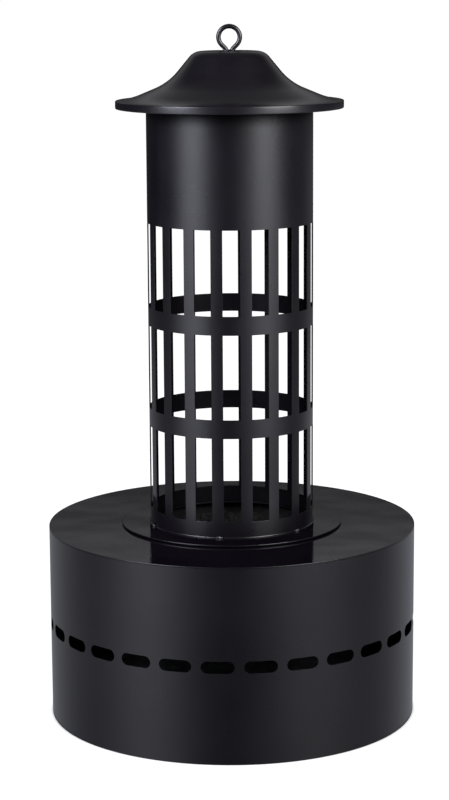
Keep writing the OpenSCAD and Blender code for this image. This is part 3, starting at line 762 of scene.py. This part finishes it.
def cap_face(inset):
    """The cap's outline from its flat top to its lip, moved in from its outer face, in millimetres.
    A rounded shoulder, the steep flank, a wide sweep, the flare and the lip follow one another smoothly."""
    flat_r, shoulder, top = 29.7, 16.6, 59.8
    flank, flank_run, sweep_r = 50.4, 19, 64
    flare, flare_run, lip_r, lip = 22.5, 17.4, 86, 6.9

    def along(point, length, slope):
        a = math.radians(slope)
        return point[0] + length * math.cos(a), point[1] - length * math.sin(a)

    def above(point, radius, slope):
        a = math.radians(slope)
        return point[0] + radius * math.sin(a), point[1] + radius * math.cos(a)

    start = (flat_r, top - shoulder)
    flank_top = above(start, shoulder, flank)
    sweep_centre = above(along(flank_top, flank_run, flank), sweep_r, flank)
    flare_top = above(sweep_centre, -sweep_r, flare)
    lip_centre = above(along(flare_top, flare_run, flare), lip_r, flare)
    face = [(0, top - inset), (10, top - inset), (20, top - inset)]
    face += arc(*start, shoulder - inset, 90, 90 - flank, 14)
    face += arc(*sweep_centre, sweep_r + inset, 270 - flank, 270 - flare, 18)
    face += arc(*lip_centre, lip_r + inset, 270 - flare, 270 - lip, 12)
    return face


def build_cap():
    """The spun cap: its outer face, its rolled rim and its inner face, drawn in millimetres."""
    sheet, rim_height, rim_width, corner = 1.0, 8.2, 2.2, 0.9
    brim = BRIM_R / MM
    outer = cap_face(0)
    inner = cap_face(sheet)
    rim = arc(brim - corner, rim_height - corner, corner, 85, 0, 6)
    rim += arc(brim - corner, corner, corner, 0, -90, 6)
    rim += [(brim - rim_width, 0), (brim - rim_width, rim_height - 1.4)]
    profile = outer + rim + inner[::-1]
    profile = [(r * MM, cap_low.z + z * MM) for r, z in profile]
    piece = lathe("cap_look", profile, ROUND_STEPS, closed=False)
    mark_sharp(piece, 50)
    return dress(piece, "cap", "black_powder_coat", CAP_COAT, "cap_shell")


def ring_path():
    """The middle of the lifting ring's rod: up one leg, round the loop, and down the other leg."""
    rod_r = (ring_high.y - ring_low.y) / 2
    mean_r = (ring_high.x - ring_low.x) / 2 - rod_r
    leg_x, knee_r = rod_r + 0.3 * MM, 6 * MM
    s = math.sin(math.radians(45))
    straight = mean_r - (leg_x + (1 - s) * knee_r) / s
    knee_z = cap_high.z - 1.2 * MM
    centre_z = knee_z + (knee_r + straight + mean_r) * s
    half = [(leg_x, ring_low.z)]
    half += arc(leg_x + knee_r, knee_z, knee_r, 180, 135, 8)
    half += arc(0, centre_z, mean_r, -45, 90, 36)
    path = half + [(-x, z) for x, z in reversed(half[:-1])]
    return [Vector((x, 0, z)) for x, z in path], rod_r


def build_lifting_ring():
    path, rod_r = ring_path()
    piece = sweep("lifting_ring_look", path, rod_r, 24, Vector((0, 1, 0)))
    mark_sharp(piece)
    return dress(piece, "cap", "black_powder_coat", SMOOTH_COAT, "lifting_ring")


def build_ring_weld():
    """A rippled fillet of weld round the ring's two legs."""
    steps, sides = 96, 10
    half_length, half_width, bead = 4.8 * MM, 2.0 * MM, 1.5
    points, faces = [], []
    for i in range(steps):
        a = 2 * math.pi * i / steps
        ripple = 0.16 * math.sin(17 * a) + 0.5 * noise.noise(Vector((math.cos(a), math.sin(a), 0)) * 1.8)
        for k in range(sides):
            b = 2 * math.pi * k / sides
            out = (bead + 0.35 * ripple) * MM
            x = (half_length + out * math.cos(b)) * math.cos(a)
            y = (half_width + out * math.cos(b)) * math.sin(a)
            z = cap_high.z + 0.4 * MM + max(-0.4 * MM, out * 0.75 * math.sin(b))
            points.append((x, y, z))
            n, m = (i + 1) % steps, (k + 1) % sides
            faces.append([i * sides + k, n * sides + k, n * sides + m, i * sides + m])
    piece = make_piece("ring_weld_look", points, faces)
    return dress(piece, "cap", "black_powder_coat", SMOOTH_COAT, "ring_weld")


# --- Controls and carried-over CAD nodes ---

def build_spring():
    """A coil of round wire behind the knob's washer, the spring that the knob is pushed in against."""
    wire_r, coil_turns, steps = 0.5 * MM, 5, 40
    coil_r = (spring_high.x - spring_low.x) / 2 - wire_r
    start, end = spring_low.y + wire_r, spring_high.y - wire_r
    path = []
    for i in range(coil_turns * steps + 1):
        a = 2 * math.pi * i / steps
        y = start + (end - start) * i / (coil_turns * steps)
        path.append(Vector((coil_r * math.cos(a), y, CONTROL_Z + coil_r * math.sin(a))))
    piece = sweep("return_spring_look", path, wire_r, 12, Vector((0, 1, 0)))
    mark_sharp(piece)
    dress(piece, "base", "zinc_plate", SLOT_LOOKS["zinc_plate"], "return_spring")
    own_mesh(piece)


def build_knob_index():
    """The white line that fills the groove at the pointer end of the knob's grip."""
    half_width = 0.7 * MM
    back, front = knob_high.y - 0.95 * MM, knob_high.y - 0.25 * MM
    low, high = CONTROL_Z + 8.1 * MM, CONTROL_Z + 15.5 * MM
    points = [(x, y, z) for x in (-half_width, half_width) for y in (back, front) for z in (low, high)]
    faces = [[0, 1, 3, 2], [4, 6, 7, 5], [0, 4, 5, 1], [2, 3, 7, 6], [0, 2, 6, 4], [1, 5, 7, 3]]
    piece = make_piece("knob_index", points, faces)
    round_edges(piece, 0.15 * MM)
    return dress(piece, "knob", "black_plastic", INDEX_PAINT)


def paint_cad_nodes():
    """Every CAD node that still shows gets its slot's material and slightly rounded edges."""
    slots = {row["node"]: row["material_slot"] for row in frame["record"]["subparts"]}
    rounding = {"control_knob": 0.9, "igniter_button": 0.6, "piezo_igniter": 0.6, "gas_valve": 0.6}
    for name, node in frame["nodes"].items():
        node.data.materials.clear()
        node.data.materials.append(SLOT_LOOKS[slots[name]])
        weld = node.modifiers.new("weld", "WELD")
        weld.merge_threshold = 0.001 * MM
        node.data.shade_smooth()
        round_edges(node, rounding.get(name, 0.2) * MM, angle=30)


# --- Stage: floor, lights and camera ---

LEFT_TURN = -52
RIGHT_TURN = 48.5
BOX_DISTANCE = 1.6
BOX_HEIGHT = 1.3
BOX_AIM = 0.6

# The floor's glow spreads in lobes: each one's turn, its strength near and far out, and its narrowness there.
LOBE_NEAR = 1.0
LOBE_FAR = 5.0
FLOOR_LOBES = (
    (LEFT_TURN, 1.6, 4.9, 10, 15),
    (RIGHT_TURN, 0.88, 4.6, 8, 12),
    (-125, 0.17, 0.0, 5, 5),
    (130, 0.25, 0.14, 5, 5),
)


def outside_drum_shadow(tree, far):
    """Painted shadow under the drum: 0 under the drum and 1 on the open floor."""
    return smooth_range(tree, far, DRUM_R - 4 * MM, DRUM_R + 4 * MM, 0.0, 1.0)


def distance_out(tree):
    """How far a point is from the world's origin."""
    node = tree.nodes.new("ShaderNodeVectorMath")
    node.operation = "LENGTH"
    tree.links.new(tree.nodes.new("ShaderNodeNewGeometry").outputs["Position"], node.inputs[0])
    return node.outputs["Value"]


def floor_glow(tree):
    """How bright the floor's painted glow is to all but the camera: most towards the softboxes, less far out,
    and none under the drum, a painted shadow.
    """
    back = tree.nodes.new("ShaderNodeNewGeometry").outputs["Incoming"]
    far = distance_out(tree)
    front = math_node(tree, "POWER", towards(tree, back, (0, 1, 0)), 2)
    dim = math_node(tree, "SUBTRACT", 0.21, math_node(tree, "MULTIPLY", front, 0.18))
    glow = math_node(tree, "MULTIPLY", dim, smooth_range(tree, far, 0.8, 3.2, 1.0, 0.15))
    fade = smooth_range(tree, far, 6.0, 11.0, 1.0, 0.45)
    for turn, near, distant, wide, narrow in FLOOR_LOBES:
        narrowness = smooth_range(tree, far, LOBE_NEAR, LOBE_FAR, wide, narrow)
        lobe = math_node(tree, "POWER", towards(tree, back, -around(1, turn, 0)), narrowness)
        strength = smooth_range(tree, far, LOBE_NEAR, LOBE_FAR, near, distant)
        strength = math_node(tree, "MULTIPLY", strength, fade)
        glow = math_node(tree, "ADD", math_node(tree, "MULTIPLY", lobe, strength), glow)
    # painted shadow: no glow under the drum
    return math_node(tree, "MULTIPLY", glow, outside_drum_shadow(tree, far))


def camera_rays(tree):
    """1 for what the camera sees directly, and 0 for light and mirror images."""
    return tree.nodes.new("ShaderNodeLightPath").outputs["Is Camera Ray"]


def pale_floor(tree):
    """The floor as the camera sees it: white, with a faint shadow, and its glow painted out under the drum as
    a painted shadow.
    """
    far = distance_out(tree)
    light = tree.nodes.new("ShaderNodeEmission")
    strength = smooth_range(tree, far, 0.3, 1.6, 1.22, 1.45)
    # painted shadow: no glow under the drum
    tree.links.new(math_node(tree, "MULTIPLY", strength, outside_drum_shadow(tree, far)), light.inputs["Strength"])
    matt = tree.nodes.new("ShaderNodeBsdfDiffuse")
    matt.inputs["Color"].default_value = (0.9, 0.9, 0.9, 1)
    return mix_shaders(tree, 0.3, light.outputs[0], matt.outputs[0])


def mirrored_floor(tree):
    """The floor as the object mirrors it."""
    light = tree.nodes.new("ShaderNodeEmission")
    light.inputs["Color"].default_value = (0.88, 0.9, 1, 1)
    tree.links.new(floor_glow(tree), light.inputs["Strength"])
    return light.outputs[0]


def build_floor():
    """A plain white floor, clear from below."""
    half, drop = 30, 0.2 * MM
    corners = [(-half, -half, 0), (half, -half, 0), (half, half, 0), (-half, half, 0)]
    floor = make_piece("floor", corners, [[0, 1, 2, 3]])
    floor.location.z = drum_low.z - drop
    material = bpy.data.materials.new("floor")
    material.use_nodes = True
    tree = material.node_tree
    tree.nodes.clear()
    above = mix_shaders(tree, camera_rays(tree), mirrored_floor(tree), pale_floor(tree))
    from_below = tree.nodes.new("ShaderNodeNewGeometry").outputs["Backfacing"]
    clear = tree.nodes.new("ShaderNodeBsdfTransparent").outputs[0]
    output = tree.nodes.new("ShaderNodeOutputMaterial")
    tree.links.new(mix_shaders(tree, from_below, above, clear), output.inputs[0])
    floor.data.materials.append(material)


def build_world():
    """White where the camera looks past the floor. To all else it is a dim room with a paler back."""
    world = bpy.data.worlds.new("studio")
    bpy.context.scene.world = world
    world.use_nodes = True
    tree = world.node_tree
    room = tree.nodes["Background"]
    room.inputs["Color"].default_value = (0.97, 0.97, 1.0, 1)
    direction = tree.nodes.new("ShaderNodeTexCoord").outputs["Generated"]
    behind = smooth_range(tree, towards(tree, direction, (0, 1, 0)), 0.45, 0.85, 0.0, 1.0)
    height = towards(tree, direction, (0, 0, 1))
    raised = smooth_range(tree, height, 0.207, 0.287, 0.027, 0.325)
    raised = math_node(tree, "MULTIPLY", raised, smooth_range(tree, height, 0.3, 0.6, 1.0, 0.5))
    glow = math_node(tree, "MAXIMUM", math_node(tree, "MULTIPLY", behind, raised), 0.04)
    tree.links.new(glow, room.inputs["Strength"])
    white = tree.nodes.new("ShaderNodeBackground")
    white.inputs["Color"].default_value = (1, 1, 1, 1)
    both = mix_shaders(tree, camera_rays(tree), room.outputs[0], white.outputs[0])
    tree.links.new(both, tree.nodes["World Output"].inputs[0])


def add_softbox(name, place, aim_z, size, power, color):
    """A rectangular area light that faces the point at height aim_z on the object's axis."""
    data = bpy.data.lights.new(name, "AREA")
    data.shape = "RECTANGLE"
    data.size, data.size_y = size
    data.energy = power
    data.color = color
    light = add_object(name, data)
    light.location = place
    aim = Vector((0, 0, aim_z)) - light.location
    light.rotation_euler = aim.to_track_quat("-Z", "Y").to_euler()


def build_lights():
    """Two softboxes, cool on the left and neutral on the right, and a weak one overhead."""
    left_place = around(BOX_DISTANCE, LEFT_TURN, BOX_HEIGHT)
    add_softbox("left_box", left_place, BOX_AIM, (0.9, 1.1), power=52, color=(0.84, 0.87, 1.0))
    right_place = around(BOX_DISTANCE, RIGHT_TURN, BOX_HEIGHT)
    add_softbox("right_box", right_place, BOX_AIM, (0.95, 1.1), power=49, color=(0.97, 0.98, 1.0))
    add_softbox("top_box", around(0.6, 180, 2.4), 0.3, (1.6, 1.6), power=0.5, color=(1, 1, 1))


def build_camera():
    """The camera stands in front and above, and looks down at the object through a long lens."""
    data = bpy.data.cameras.new("camera")
    data.sensor_width = 36
    data.lens = 103.42
    data.shift_x = -0.0083
    data.shift_y = 0.0067
    data.clip_end = 100
    camera = add_object("camera", data)
    camera.location = (0, -2.4562, 0.8106)
    look_down, roll = 10.863, -0.315
    tilt = Matrix.Rotation(math.radians(90 - look_down), 3, "X")
    camera.rotation_euler = (tilt @ Matrix.Rotation(math.radians(roll), 3, "Z")).to_euler()
    bpy.context.scene.camera = camera


paint_cad_nodes()
build_drum_shell()
build_ring_plate("drum_top_look", "base", "drum_top", DRUM_R, DRUM_TOP_HOLE, 6)
build_ring_plate("tower_plate_look", "lantern", "tower_plate", PLATE_R, PLATE_HOLE, 2)
build_rocks()
# The tower, with black tubes inside and outside it as painted dark reflections
build_dark_reflection_tubes(build_tower_tube())
build_foot_fillet()
build_tack_welds()
build_cap()
build_lifting_ring()
build_ring_weld()
build_spring()
build_knob_index()
build_floor()
build_world()
build_lights()
build_camera()
bpy.context.scene.view_settings.view_transform = "Standard"
